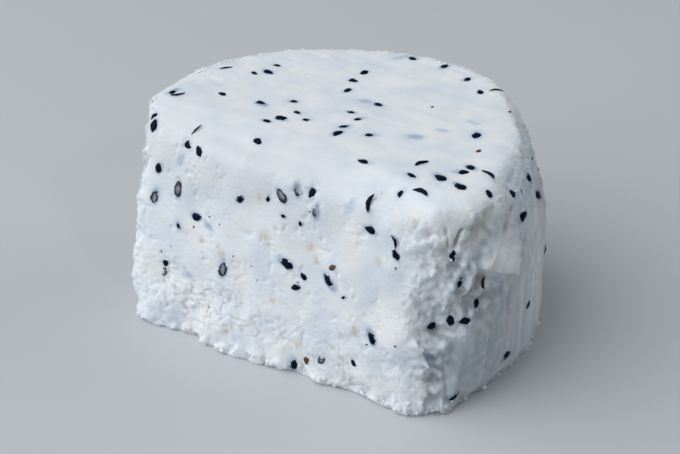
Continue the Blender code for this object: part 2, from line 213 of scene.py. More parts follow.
# The rim at the right has skin too, greyer partly as painted shade where it falls away: the degrees round
# where it begins and ends, and how nearly it faces up.
RIGHT_RIM = (-8, 2), (60, 42), (0.96, 0.85)
SHADE_UP, SHADE_ALONG = (32, 44), (24, 2)  # painted shade on the upper band of the cut face fades in upwards and to the left
CUT_PLACES = (
    (-38, 1, 3.5, 6, 1.2),
    (-28, 1, 4, 6, -1.2),
    (-13, 1, 8.5, 7, 2.2),
    (7, 1, 4, 6, -1.5),
    (24, 0, 9, 5, -1.6),
    (31, 15, 5, 8, 0.7),
)

# -------- seeds
# Where each seed lies (cut face: along it and up, top: X and Y, rind: degrees round and up), its length, its
# turn in degrees, and its kind where it isn't whole: c cut through, h thin husk, b brown sliver.
CUT_FACE_SEEDS = (
    (-31.2, 49.2, 2.9, 147), (-27, 49, 2.8, 127), (-39, 41.4, 3, 63), (-32.1, 38, 4, 88, "c"),
    (-39.8, 33.2, 3.5, 78, "c"), (-26, 32.1, 3, 5), (-12.9, 41.2, 2.4, 40), (-1, 45.7, 3.8, 138, "c"),
    (3, 48.4, 3.4, 105, "c"), (7.1, 48.5, 3, 100), (9.1, 44.8, 2.8, 85, "c"), (1.7, 28.7, 3.8, 172),
    (5, 23.4, 2.6, 20), (6.6, 26.8, 2.4, 130), (14.2, 28.3, 3.9, 140), (15.2, 32.2, 2.2, 35, "b"),
    (27.6, 17.4, 3.6, 126), (-34.9, 17.3, 2.6, 75), (-35.4, 14.3, 2.6, 80, "c"), (-16.7, 21.3, 3.8, 78, "c"),
    (23.9, 44.2, 2.7, 167), (22.9, 50.3, 4.6, 93, "h"), (31.2, 40.4, 3, 118), (30.8, 43.3, 3.2, 117, "h"),
    (5.4, 2.4, 3.2, 95), (13.9, 6.9, 2.8, 60, "c"), (9.4, 5.1, 2.4, 80, "b"), (-5, 43.5, 1.5, 80),
    (-31.5, 28.3, 1.3, 120), (5, 40.3, 1.3, 110), (0.2, 40.9, 1.2, 170), (18.8, 25.4, 1.1, 30),
    (22.8, 9, 1.8, 135),
)  # fmt: skip
TOP_SEEDS = (
    (-13.2, -14.1, 4.5, -8), (-44.7, -16.2, 2.4, 61), (-46.3, -6.7, 2.8, 87), (-43.8, -7.6, 3.8, 53, "h"),
    (-43.2, 11.6, 3.4, 50, "h"), (-35.6, 13.8, 1.9, -4), (-34.8, -0.4, 3.2, -8), (-32.9, 16.2, 3, -8),
    (-33.3, 20.7, 3, 8), (-23.7, 0.5, 3.8, -2), (-14.6, -3.2, 4, -4), (-16.6, -6.4, 2.8, 8),
    (-17.5, 6.2, 2, 30), (-13.1, 1.5, 2.4, -14), (-9.1, -0.4, 2.2, 34), (1.3, -1.7, 3.4, 80),
    (0.7, 1.9, 2.8, 55), (-12.1, 30.1, 2.8, 70), (-11.8, 24.5, 3.2, -4), (-9.9, 19.4, 2.4, 72),
    (1.2, 16.7, 3.2, -8), (-2, 9.2, 2.4, 0), (1.3, 6.9, 2.6, 56), (8.2, 1.6, 1.9, 44), (14.4, -10, 2.9, -3),
    (26.2, -3.4, 3.8, 66, "h"), (27.5, -9.8, 3, -14), (28.3, -15.7, 2.5, 86), (32.7, -13.8, 4.2, -4, "h"),
    (33.6, -6.6, 4, 152), (39.3, -7.6, 3.3, 165), (36.7, 1.5, 3, 171), (36.8, -1.1, 3.4, 41),
    (42.2, 0.9, 4.4, -20, "h"), (45.4, -4.8, 2.4, 171), (29.7, 16.2, 3.4, 115), (34.2, 9.7, 2.2, 90, "b"),
    (-6.1, 44.2, 3.8, -1), (3.3, 44.8, 2.4, 71), (12.2, 41.5, 2.4, 69), (18.6, 37.1, 2.6, 119),
    (-30.8, -16.5, 3.6, 66, "h"), (21.3, 40.1, 3.6, 48, "h"), (-43.1, -18.6, 3.6, 106), (29.7, 32.7, 0.9, 81),
    (13, 22.9, 0.8, 34),
)  # fmt: skip
RIND_SEEDS = (
    (2.9, 49.9, 3, 104), (7, 49.1, 2.8, 84), (4.6, 44.9, 3.6, 39), (15.4, 49.5, 2.2, 73),
    (-21, 41.2, 2.8, 80), (-20.3, 34, 4.2, 54), (-13.7, 33.6, 3.4, 87, "h"), (-14.4, 27.6, 3.8, 51),
    (-19.1, 24.7, 3.2, 169), (-22.4, 25.1, 3, 82), (-26.7, 23.6, 3.3, 79), (8.6, 18, 3, 60),
    (-3.4, 8.8, 3.8, 170), (-22.3, 4.2, 3, 30),
)  # fmt: skip
# Seeds that only shimmer through the surface: zone, first, second, length, turn.
BURIED_SEEDS = (
    ("cut", -32.6, 45.5, 3.6, 70), ("cut", 18, 48, 3.2, 60), ("cut", -22, 31, 2.2, 150),
    ("top", 17.6, 7, 3.6, 20), ("top", 22, 13.6, 3, 10), ("top", 25.6, 21.4, 3, 350),
    ("top", 36, -1.4, 3.2, 30), ("top", -9, 42.6, 3.2, 60), ("top", -3, 16.4, 3.2, 10),
    ("rind", -7.5, 31, 3, 80), ("rind", -29, 15, 2.6, 60),
    ("cut", -28, 16, 1.8, 20),
)  # fmt: skip
# How strongly buried seeds, and seeds that are seen, shimmer through the cheese, and how far round them.
BURIED_STRENGTH, BURIED_REACH = (0.3, 0.5), (0.35, 0.7)
SEEN_STRENGTHS, SEEN_REACH = (0.1, 0.25, 0.4, 0.5, 0.6), (0.3, 0.75)
SHIMMER_LIMIT = 6.0
SCATTER_SEED = 11
SHAPE_SEED, SHIMMER_SEED, CRUMB_SEED = 5, 8, 21
SPECKS = 15
SPECK_LENGTH, SPECK_ALONG, SPECK_UP = (0.45, 0.75), (-38, 36), (6, 46)
SCATTER_TRIES = 330
SCATTER_ANGLES = (22.0, 208.0)
SCATTER_HEIGHTS = (4.0, 50.0)
CUT_EDGE_ANGLE = 203.0  # past this the round side gives way to the cut face
SEED_SPACING = 8.4
SEED_LENGTH = (2.3, 3.3)
SEED_SLENDERNESS = 0.64
SEED_THICKNESS = 0.38
HUSKS = (  # each one's width and how far it bends, as shares of a seed's own half width
    (0.42, 0.6), (0.38, -0.6), (0.24, -0.25), (0.2, 0.15), (0.5, 0.5),
    (0.46, 0.5), (0.36, 0.6), (0.2, 0.15), (0.16, 0.8), (0.4, 0.6),
)  # fmt: skip
HUSK_CUTS = 15
HUSK_EVERY = 7  # so many scattered seeds to one husk
FULL_TURN = 6.28
# A cut seed in its own unit size: its level, its highest point, the shell's ring, and where the kernel ends.
CUT_LEVEL, CUT_TOP, SHELL_AT, SHELL_WIDTH, KERNEL_EDGE = 0.2, 0.3, 0.8, 0.16, (0.66, 0.5)
WHOLE_SHAPES, CUT_SHAPES, BROWN_SHAPES, CRUMB_SHAPES = 9, 4, 2, 9  # how many differ, before they repeat
FLECKS_BY_SEED = 4  # bits of cheese that stick to a seed's edge
PROUD = {"w": 0.42, "c": 0.14, "h": 0.6, "b": 0.3}  # how far each kind stands out of the cheese
SUNK = {"cut": 1.0, "top": 0.8, "rind": 0.7}  # and the share of that in each zone
PROUD_SPREAD, DIP = (-0.17, 0.1), 8  # how far a seed may differ from that, and tip up or down, in degrees
PROUD_LIMIT = 0.3  # the most that stands out, as a share of its length

CRUMB_SUNK, CRUMB_LEAN = 0.22, 0.35  # as a share of its size, and how far it leans at random
# Cream and tan stains on the cut face: along it, height, radius.
STAINS = (
    (-17, 25.2, 1.1), (-18.5, 27, 0.7), (-5, 34, 1.3), (-24, 26.5, 1), (8, 35, 1.1),
    (22.5, 17.5, 0.9), (6.5, 8.5, 0.8), (-1, 18, 0.8), (10, 32, 1), (-32, 40.4, 0.6),
    (-7.5, 43, 0.8), (27, 37, 1), (-14, 6, 1),
)  # fmt: skip


# -------- shared helpers
def smooth_step(low, high, value):
    """0 below low, 1 above high and an even curve between, also where low is above high."""
    t = min(1.0, max(0.0, (value - low) / (high - low)))
    return t * t * (3 - 2 * t)


def bumps(point, width, *shift):
    """Soft bumps so many millimetres wide, about 0.5 up or down. A shift gives another pattern of them."""
    return noise.noise(point / width + Vector(shift or (0.0, 0.0, 0.0)))


def hump(across, up):
    """A soft round hump, 1 at its middle and near nothing two half widths away."""
    return math.exp(-(across**2 + up**2))


def swelling(places, angle, z):
    """The sum of soft swellings on the wheel's side, in millimetres, at an angle in degrees and a height."""
    total = 0.0
    for place_angle, place_z, half_width, half_height, out in places:
        turn = (angle - place_angle + 180) % 360 - 180
        total += out * hump(math.radians(turn) * BASE_RADIUS / half_width, (z - place_z) / half_height)
    return total


def side_radius(z):
    share = z / HEIGHT
    return BASE_RADIUS + (TOP_RADIUS - BASE_RADIUS) * share + BELLY * 4 * max(0.0, share * (1 - share))


def direction(angle, rise):
    """A unit vector, from degrees round from +X and degrees up."""
    turn, up = math.radians(angle), math.radians(rise)
    return Vector((math.cos(turn) * math.cos(up), math.sin(turn) * math.cos(up), math.sin(up)))


def worn_planes():
    """Every plane that wears an edge off, as (degrees round, degrees up, distance from the origin)."""
    planes = [CORNER_PLANE]
    for angle, lean, distance, radius in WORN_EDGES:
        middle_z = HEIGHT - radius
        tilt = math.radians(lean)
        middle = (distance - radius - math.sin(tilt) * middle_z) / math.cos(tilt)
        for rise in WORN_RISES:
            up = math.radians(rise)
            planes.append((angle, rise, middle * math.cos(up) + middle_z * math.sin(up) + radius))
    return planes


def select_only(piece):
    bpy.ops.object.select_all(action="DESELECT")
    piece.select_set(True)
    bpy.context.view_layer.objects.active = piece


def apply_modifier(piece, name, kind, **settings):
    select_only(piece)
    modifier = piece.modifiers.new(name, kind)
    for key, value in settings.items():
        setattr(modifier, key, value)
    bpy.ops.object.modifier_apply(modifier=modifier.name)


def surface_of(piece):
    """A piece's surface as it is now, to find places on."""
    return BVHTree.FromObject(piece, bpy.context.evaluated_depsgraph_get())


def paint(piece, name, values):
    """Keeps a value for each point of a piece, which its material reads by name."""
    store = piece.data.attributes.new(name, "FLOAT", "POINT")
    store.data.foreach_set("value", values)


def cut_across(piece, length, cuts):
    """Cuts an upright cylinder of that length across so many times, and stays in edit mode."""
    bpy.ops.object.mode_set(mode="EDIT")
    mesh = bmesh.from_edit_mesh(piece.data)
    for edge in mesh.edges:
        edge.select_set(abs(edge.verts[0].co.z - edge.verts[1].co.z) > length / 2)
    bmesh.update_edit_mesh(piece.data)
    bpy.ops.mesh.subdivide(number_cuts=cuts)


def add_object(name, data):
    made = bpy.data.objects.new(name, data)
    bpy.context.scene.collection.objects.link(made)
    return made


def slice_flat(piece, point, normal, fill):
    """Cuts away what lies on the normal's side of a plane."""
    select_only(piece)
    bpy.ops.object.mode_set(mode="EDIT")
    bpy.ops.mesh.select_all(action="SELECT")
    bpy.ops.mesh.bisect(plane_co=point, plane_no=normal, use_fill=fill, clear_outer=True)
    bpy.ops.object.mode_set(mode="OBJECT")


# -------- the block
def make_wheel():
    """A wheel with a rounded top rim, slightly out of round."""
    depth = (HEIGHT + SKIRT) * MM
    middle = (HEIGHT - SKIRT) / 2 * MM
    bpy.ops.mesh.primitive_cylinder_add(
        vertices=WHEEL_SIDES, radius=BASE_RADIUS * MM, depth=depth, location=(0.0, 0.0, middle)
    )
    wheel = bpy.context.active_object
    wheel.name = "cheese_body"
    bpy.ops.object.transform_apply(location=True, rotation=True, scale=True)
    cut_across(wheel, depth, WHEEL_CUTS)
    mesh = bmesh.from_edit_mesh(wheel.data)
    for element in (*mesh.verts, *mesh.edges, *mesh.faces):
        element.select_set(False)
    for edge in mesh.edges:
        edge.select_set(all(vertex.co.z > (HEIGHT - 0.1) * MM for vertex in edge.verts))
    mesh.select_flush_mode()
    bmesh.update_edit_mesh(wheel.data)
    rounding = {"offset": SHOULDER * MM, "segments": SHOULDER_STEPS}
    bpy.ops.mesh.bevel(affect="EDGES", clamp_overlap=False, **rounding)
    bpy.ops.object.mode_set(mode="OBJECT")
    for vertex in wheel.data.vertices:
        flat = Vector((vertex.co.x, vertex.co.y, 0.0))
        angle = math.degrees(math.atan2(flat.y, flat.x))
        z = vertex.co.z / MM
        wider = side_radius(min(z, HEIGHT - SHOULDER)) / BASE_RADIUS - 1
        vertex.co += flat * (wider + swelling(OUT_OF_ROUND, angle, z) / BASE_RADIUS)
    return wheel


def zones(normal):
    """How much of a point belongs to the top, the cut face and the rind."""
    on_top = smooth_step(*TOP_FACING, normal.z)
    on_cut = smooth_step(*CUT_FACING, normal.dot(KNIFE_NORMAL)) * (1 - on_top)
    return on_top, on_cut, max(0.0, 1 - on_top - on_cut)


def surface_zones(point, normal):
    """The zones of the skin: low on the corner, the smooth side comes forward to the long crease."""
    on_top, on_cut, on_rind = zones(normal)
    past_crease = math.degrees(math.atan2(point.y, point.x)) - (CREASE_LEAN * point.z + CREASE_ANGLE)
    moved = on_cut * smooth_step(0.0, 1.2, past_crease) * smooth_step(*CREASE_TOP, point.z)
    return on_top, on_cut - moved, on_rind + moved


def main_relief(point, normal):
    """The unevenness that the block has at a few millimetres' width, as a height in millimetres."""
    on_top, on_cut, on_rind = zones(normal)
    angle = math.atan2(point.y, point.x)
    lumps = LUMP_HEIGHT * bumps(point, LUMP_WIDTH)
    along, up = point.x / CUT_HALF_WIDTH, point.z / HEIGHT
    bow = CUT_BOW * up * max(0.0, 1 - along**2) - CUT_TWIST * along * (1 - up)
    humps = 0.0
    for place_x, place_z, half_width, half_height, out in CUT_PLACES:
        humps += out * hump((point.x - place_x) / half_width, (point.z - place_z) / half_height)
    stretched = Vector((angle * BASE_RADIUS / PLEAT_WIDTH, 0.0, point.z / PLEAT_LENGTH))
    pleats = PLEAT_HEIGHT * noise.noise(stretched)
    waves = WAVE_HEIGHT * bumps(point, WAVE_WIDTH, 7.0, 0.0, 0.0)
    foot = FOOT_HEIGHT * bumps(point, FOOT_WIDTH) * smooth_step(FOOT_RISE, 0.0, point.z)
    level = TOP_HEIGHT * bumps(point, TOP_WIDTH)
    torn = swelling(TORN_PLACES, math.degrees(angle), point.z) * (1 - on_top)
    return (
        on_cut * (lumps + bow + humps)
        + on_rind * (pleats + waves)
        + on_top * level
        + (on_cut + 0.6 * on_rind) * foot
        + torn
    )


def cracked(point, width):
    """How near a point is to a crack between two lumps of curd, which are so many millimetres wide."""
    place = point / width
    place += 0.55 * noise.noise_vector(place * 1.3) + 0.2 * noise.noise_vector(place * 4.0)
    distances = noise.voronoi(place)[0]
    return smooth_step(0.2, 0.0, distances[1] - distances[0])


def broken(point, width, sharpness):
    """Crumbly facets: each grain of curd has a tilt and a height of its own, about 0.5 either way."""
    place = point / width
    place += 0.35 * noise.noise_vector(place * 1.7)
    distances, grains = noise.voronoi(place)
    near_first = 0.5 + 0.5 * smooth_step(0.0, sharpness, distances[1] - distances[0])
    total = 0.0
    for grain, share in ((grains[0], near_first), (grains[1], 1 - near_first)):
        tilt = noise.noise_vector(grain * 3.7)
        total += share * ((place - grain).dot(tilt) * 1.4 + 0.8 * noise.noise(grain * 5.3))
    return total


def granular(point, width):
    """Round grains of curd, up to 1 high, some missing."""
    place = point / width
    place += 0.25 * noise.noise_vector(place * 1.9)
    distances, grains = noise.voronoi(place)
    size = 0.55 + 0.3 * noise.noise(grains[0] * 4.1)
    return max(0.0, 1 - (distances[0] / size) ** 2) ** 0.6


def along_line(around, z, line):
    """A point's place beside a line: its distance, positive on the left, and how near it is to its ends."""
    first, first_z, second, second_z = line
    start = Vector((math.radians(first) * BASE_RADIUS, first_z))
    way = Vector((math.radians(second) * BASE_RADIUS, second_z)) - start
    length = way.length
    way /= length
    offset = Vector((around, z)) - start
    run = offset.dot(way)
    ends = smooth_step(-1.2, 0.6, run) * smooth_step(length + 1.2, length - 0.6, run)
    return way.x * offset.y - way.y * offset.x, ends


def torn_relief(point, around):
    """The ledges, ridges, furrows and pits of the torn corner, in millimetres."""
    z = point.z
    height = swelling(TORN_PITS, math.degrees(around / BASE_RADIUS), z)
    wobble = bumps(point, 1.6)
    for *line, out, fade, ragged in LEDGES:
        away, ends = along_line(around, z, line)
        if ends > 0 and -2 < away < 4 * fade:
            away += ragged * wobble
            height += out * ends * smooth_step(-0.3, 0.4, away) * math.exp(-((max(0.0, away) / fade) ** 2))
    for *line, half_width, out in RIDGES:
        away, ends = along_line(around, z, line)
        if ends > 0 and abs(away) < 3 * half_width:
            height += out * ends * math.exp(-(((away + 0.3 * wobble) / half_width) ** 2))
    return height


def cut_relief(point):
    """The cut face, nearly smooth above and crumbled below, and how deep in a crack a point is."""
    coarse = smooth_step(CURD_LINE + 4, CURD_LINE - 16, point.z) * (0.55 + 0.9 * bumps(point, 12.0))
    patch = hump((point.x + 22) / 17, (point.z - 11) / 7)
    coarse = min(1.0, max(0.0, coarse + 0.6 * patch)) * (0.3 + 0.7 * smooth_step(2.0, 7.0, point.z))
    facets = broken(point, 5.4, 0.6)
    chips = broken(point + Vector((5.0, 1.0, 9.0)), 1.7, 0.4)
    lumps = bumps(point, 5.0)
    grain = bumps(point, 0.9, 4.0, 4.0, 1.0)
    rubbed = smooth_step(0.0, 0.3, bumps(point, 5.0, 0.0, 3.0, 9.0))
    chipped = smooth_step(0.22, 0.34, bumps(point, 1.8, 2.0, 7.0, 3.0)) * rubbed
    split = smooth_step(-0.05, 0.3, bumps(point, 3.2, 8.0, 1.0, 5.0))
    split = max(0.8 * split, 0.9 * patch * smooth_step(-0.3, 0.1, bumps(point, 2.6)))
    crack = split * coarse * cracked(point, 4.2)
    height = (
        0.25 * lumps
        + 0.75 * coarse * facets
        + (0.05 + 0.06 * coarse) * chips
        + (0.04 + 0.12 * rubbed + 0.03 * coarse) * grain
        - 0.28 * chipped
        - 0.45 * crack
    )
    return height, crack


def rind_relief(point, around):
    """The pressed round side: soft upright folds and scuffs, and crumpled skin above."""
    folds = noise.noise(Vector((around / 2.6, 3.0, point.z / 16.0)))
    grooves = abs(noise.noise(Vector((around / 1.7 + 0.6 * bumps(point, 4.0), 8.0, point.z / 14.0))))
    crumpled = abs(noise.noise(Vector((around / 2.8 + point.z / 7.0, 1.0, point.z / 3.6))))
    wrinkled = noise.noise(Vector((around / 1.4 - point.z / 5.0, 4.0, point.z / 2.4)))
    upper = smooth_step(22.0, 34.0, point.z)
    smooth = 1 - 0.8 * min(1.0, swelling(PALE_PLACES, math.degrees(around / BASE_RADIUS), point.z))
    furrowed = smooth_step(0.0, 9.0, around) * (1 - 0.6 * upper)
    swells = noise.noise(Vector((around / 5.0, 2.0, point.z / 7.0)))
    some = smooth_step(-0.2, 0.3, noise.noise(Vector((around / 8.0, 5.0, point.z / 14.0))))
    return (
        (0.16 * folds + 0.35 * swells) * smooth
        - 0.13 * furrowed * some * smooth_step(0.14, 0.0, grooves) * smooth
        + upper * smooth * (0.85 * crumpled + 0.4 * wrinkled)
        + 0.1 * bumps(point, GRIT_WIDTH)
    )


def top_relief(point):
    """The smooth moist top: faint wrinkles that run across it."""
    across = point.y + 0.12 * point.x + 1.5 * bumps(point, 14.0)
    wrinkles = noise.noise(Vector((point.x / 20.0, across / 1.9, 1.0)))
    swells = noise.noise(Vector((point.x / 9.0, point.y / 5.0, 6.0)))
    near_rim = smooth_step(34.0, 46.0, math.hypot(point.x, point.y))
    dents = broken(point, 5.0, 0.8)
    rumpled = (0.06 + 0.1 * near_rim) * wrinkles + 0.2 * swells + 0.35 * near_rim * dents
    return rumpled + 0.03 * bumps(point, GRIT_WIDTH)


def corner_share(around):
    """1 on the torn corner and the round side beside it, 0 further left and further back."""
    begins, full, full_still, ends = CORNER_SPAN
    return smooth_step(begins, full, around) * smooth_step(ends, full_still, around)


def corner_relief(point, around, share):
    """So much of the torn corner's height, crumbled in places, and how deep in a crack the point is."""
    torn = share * torn_relief(point, around)
    crumbly = share * min(1.0, swelling(CRUMBLY_PLACES, math.degrees(around / BASE_RADIUS), point.z))
    lumps = broken(point, 4.4, 0.4)
    patchy = smooth_step(-0.25, 0.25, bumps(point, 4.0, 3.0, 3.0, 8.0))
    grains = 0.55 * granular(point, 2.0) + 0.3 * granular(point + Vector((5.0, 5.0, 5.0)), 1.1)
    split = crumbly * max(0.6 * smooth_step(-0.2, -0.6, lumps), 0.6 * cracked(point, 3.6))
    # Recesses of the torn corner join the crack mask, which the material paints as shade.
    crack = max(0.8 * smooth_step(-0.2, -1.0, torn), split)
    return 1.3 * torn + crumbly * (1.2 * lumps + (0.2 + 0.8 * patchy) * grains), crack


def rim_relief(point, normal):
    """The grainy rim behind the cut face, ragged at the left and again at the far right."""
    back = smooth_step(*RIM_BACK, point.y)
    if back == 0 or not RIM_BEGINS[0] < normal.z < RIM_ENDS[0]:
        return 0.0
    rim = smooth_step(*RIM_BEGINS, normal.z) * smooth_step(*RIM_ENDS, normal.z)
    ragged = max(smooth_step(30.0, -10.0, point.x), 0.7 * smooth_step(38.0, 44.0, point.x))
    ragged *= smooth_step(-0.3, 0.2, bumps(point, 7.0))
    grains = (0.15 + 0.6 * ragged) * granular(point, 2.4) + 0.4 * broken(point, 1.4, 0.4)
    return rim * back * (grains - 0.35)


def foot_relief(point, share):
    """So much of the foot's loose grains, which are crushed flat where the block stands on them."""
    loose = smooth_step(-0.1, 1.1, point.z)
    grains = 0.9 * granular(point, 3.0) + 0.45 * granular(point, 1.5) - 0.3
    return share * (0.3 + 0.7 * loose) * broken(point, 3.6, 0.4) + share * loose * grains


def fine_relief(point, normal):
    """The finer unevenness: a height in millimetres, and how deep in a crack the point is."""
    on_top, on_cut, on_rind = surface_zones(point, normal)
    around = math.atan2(point.y, point.x) * BASE_RADIUS
    height = 0.0
    crack = 0.0
    if on_cut > 0.01:
        cut_height, crack = cut_relief(point)
        height += on_cut * cut_height
        crack *= on_cut
    if on_rind > 0.01:
        height += on_rind * rind_relief(point, around)
    if on_top > 0.01:
        height += on_top * top_relief(point)
    if on_top < 0.95 and CORNER_SPAN[0] < around < CORNER_SPAN[-1]:
        corner_height, corner_crack = corner_relief(point, around, (1 - on_top) * corner_share(around))
        height += corner_height
        crack = max(crack, corner_crack)
    height += rim_relief(point, normal)
    edge = smooth_step(*LEFT_EDGE_X, point.x) * smooth_step(*LEFT_EDGE_Y, point.y) * (1 - on_top)
    if edge > 0.02:
        height += edge * (0.8 * broken(point, 3.0, 0.4) + 0.3 * broken(point, 1.3, 0.4))
    foot = smooth_step(LOOSE_FOOT, 0.0, point.z) * (1 - on_top)
    if foot > 0:
        height += foot_relief(point, foot)
    return height, crack


def move_along_normals(piece, heights):
    normals = [vertex.normal.copy() for vertex in piece.data.vertices]
    for vertex, normal, height in zip(piece.data.vertices, normals, heights):
        vertex.co += normal * (height * MM)
    piece.data.update()


def split_finer(piece, cuts, wanted):
    """Splits each face that a test picks, by cutting its edges so many times."""
    select_only(piece)
    bpy.ops.object.mode_set(mode="EDIT")
    bpy.ops.mesh.select_mode(type="FACE")
    mesh = bmesh.from_edit_mesh(piece.data)
    for face in mesh.faces:
        face.select_set(wanted(face))
    bmesh.update_edit_mesh(piece.data)
    bpy.ops.mesh.subdivide(number_cuts=cuts)
    bpy.ops.object.mode_set(mode="OBJECT")


def in_front(face):
    """Whether a face is on the cut face, the torn corner or the crumbly rim at the back."""
    centre = face.calc_center_median() / MM
    cut_side = face.normal.y < FACES_FRONT
    depth = CORNER_DEPTH if centre.z < SHOULDER_FROM else SHOULDER_DEPTH
    corner = centre.x > CORNER_FROM and centre.y < depth and face.normal.x > FACES_RIGHT
    slanting = RIM_SLANT[0] < face.normal.z < RIM_SLANT[1]
    rim = centre.z > RIM_FROM and centre.y > 0 and centre.x < RIM_END and slanting
    return (cut_side or corner) and face.normal.z < FACES_UP or rim


def make_block():
    """The cheese, and a tree of its plain surface."""
    noise.seed_set(CURD_SEED)
    block = make_wheel()
    slice_flat(block, (0.0, -CUT_AT_BASE * MM, 0.0), KNIFE_NORMAL, True)
    for angle, rise, distance in worn_planes():
        normal = direction(angle, rise)
        slice_flat(block, normal * (distance * MM), normal, True)
    apply_modifier(block, "Even grid", "REMESH", mode="VOXEL", voxel_size=GRID * MM)
    apply_modifier(block, "Soften", "SMOOTH", factor=0.5, iterations=SOFTENING_PASSES)
    plain = surface_of(block)
    heights = [main_relief(vertex.co / MM, vertex.normal) for vertex in block.data.vertices]
    move_along_normals(block, heights)
    slice_flat(block, (0.0, 0.0, -LEFT_BELOW * MM), (0.0, 0.0, -1.0), False)
    split_finer(block, FRONT_CUTS, in_front)
    coarse_area = (0.7 * GRID * MM) ** 2
    split_finer(block, OTHER_CUTS, lambda face: face.calc_area() > coarse_area)
    apply_modifier(block, "Even out", "SMOOTH", factor=0.5, iterations=2)
    heights, cracks = [], []
    for vertex in block.data.vertices:
        normal = plain.find_nearest(vertex.co)[1]
        height, crack = fine_relief(vertex.co / MM, normal)
        heights.append(height)
        cracks.append(crack)
    move_along_normals(block, heights)
    # How deep in a crack or torn recess each point is, which the material darkens as painted shade.
    paint(block, "crack", cracks)
    slice_flat(block, (0.0, 0.0, 0.0), (0.0, 0.0, -1.0), True)
    block.data.shade_smooth()
    return block, plain


# -------- seeds
def seed_places():
    """Every seed as (zone, first, second, length, turn, kind)."""
    places = []
    for zone, seeds in (("cut", CUT_FACE_SEEDS), ("top", TOP_SEEDS), ("rind", RIND_SEEDS)):
        places += [(zone, *seed, "w")[:6] for seed in seeds]
    draw = random.Random(SCATTER_SEED)
    taken = []
    for _ in range(SCATTER_TRIES):
        angle, z = draw.uniform(*SCATTER_ANGLES), draw.uniform(*SCATTER_HEIGHTS)
        length, turn = draw.uniform(*SEED_LENGTH), draw.uniform(0, 180)
        spot = Vector((math.radians(angle) * BASE_RADIUS, z))
        if all((other - spot).length > SEED_SPACING for other in taken):
            taken.append(spot)
            if angle < CUT_EDGE_ANGLE:
                places.append(("rind", angle, z, length, turn, "h" if len(taken) % HUSK_EVERY == 0 else "w"))
    for _ in range(SPECKS):
        spot = draw.uniform(*SPECK_ALONG), draw.uniform(*SPECK_UP)
        places.append(("cut", *spot, draw.uniform(*SPECK_LENGTH), draw.uniform(0, 180), "b"))
    return places


def any_place(draw):
    """A random shift, which gives a noise another pattern."""
    return Vector([draw.uniform(0, 50) for _ in range(3)])


def ray_to(zone, first, second):
    far = 100.0
    if zone == "cut":
        return Vector((first, -far, second)), Vector((0.0, 1.0, 0.0))
    if zone == "top":
        return Vector((first, second, far)), Vector((0.0, 0.0, -1.0))
    if zone == "rim":
        centre = direction(first, 0.0) * (TOP_RADIUS - SHOULDER) + Vector((0.0, 0.0, HEIGHT - SHOULDER))
        return centre + direction(first, second) * far, -direction(first, second)
    inward = -Vector((math.cos(math.radians(first)), math.sin(math.radians(first)), 0.0))
    return Vector((0.0, 0.0, second)) - inward * far, inward


def lie_on(place, rough, plain, proud, top=1.0):
    """Where a seed lies, as the matrix of its unit shape: its long side is X, its top is at Z = top."""
    zone, first, second, length, turn = place[:5]
    start, inward = ray_to(zone, first, second)
    spot = rough.ray_cast(start * MM, inward)[0]
    facing = plain.ray_cast(start * MM, inward)[1]
    level = Vector((0.0, 0.0, 1.0)).cross(facing) if zone != "top" else Vector((1.0, 0.0, 0.0))
    level = (level - facing * level.dot(facing)).normalized()
    along = Matrix.Rotation(math.radians(turn), 3, facing) @ level
    across = facing.cross(along)
    half = Vector((length, length * SEED_SLENDERNESS, length * SEED_THICKNESS)) * (MM / 2)
    centre = spot - facing * (half.z * top - proud * MM)
    turned = Matrix((along, across, facing)).transposed().to_4x4()
    return Matrix.Translation(centre) @ turned @ Matrix.Diagonal((*half, 1.0))


def shape_whole_seed(draw):
    """A nigella seed of unit half sizes: blunt at one end, pointed at the other, with three soft keels."""
    bpy.ops.mesh.primitive_uv_sphere_add(segments=14, ring_count=9, radius=1.0)
    seed = bpy.context.active_object
    bpy.ops.object.mode_set(mode="EDIT")
    bpy.ops.transform.rotate(value=math.radians(90), orient_axis="Y", center_override=(0, 0, 0))
    bpy.ops.object.mode_set(mode="OBJECT")
    keel_turn = draw.uniform(0, FULL_TURN)
    offset = any_place(draw)
    bend = draw.uniform(-0.12, 0.12)
    for vertex in seed.data.vertices:
        x, y, z = vertex.co
        taper = 1 - 0.22 * x - 0.12 * x * x
        around = math.atan2(z, y)
        keel = 1 + 0.1 * math.cos(3 * around + keel_turn)
        rough = 1 + 0.28 * noise.noise(vertex.co * 1.6 + offset)
        rough += 0.12 * noise.noise(vertex.co * 4.0 + offset)
        bent = y * taper * keel * rough + bend * (1 - x * x)
        vertex.co = Vector((x * rough, bent, z * taper * keel * rough))
    return seed


def shape_cut_seed(draw):
    """A seed that the knife went through: its top is flat, with a raised shell and a kernel inside it."""
    seed = shape_whole_seed(draw)
    values = []
    offset = Vector((draw.uniform(0, 50), 0.0, 0.0))
    for vertex in seed.data.vertices:
        x, y, z = vertex.co
        out = math.hypot(x, y * 1.05)
        inside = smooth_step(*KERNEL_EDGE, out + 0.1 * noise.noise(vertex.co * 4 + offset))
        values.append(inside if z > 0 else 0.0)
        if z > CUT_LEVEL:
            shell = 0.12 * hump((out - SHELL_AT) / SHELL_WIDTH, 0)
            vertex.co.z = CUT_LEVEL + shell + 0.1 * noise.noise(vertex.co * 3.0 + offset)
    paint(seed, "kernel", values)
    return seed


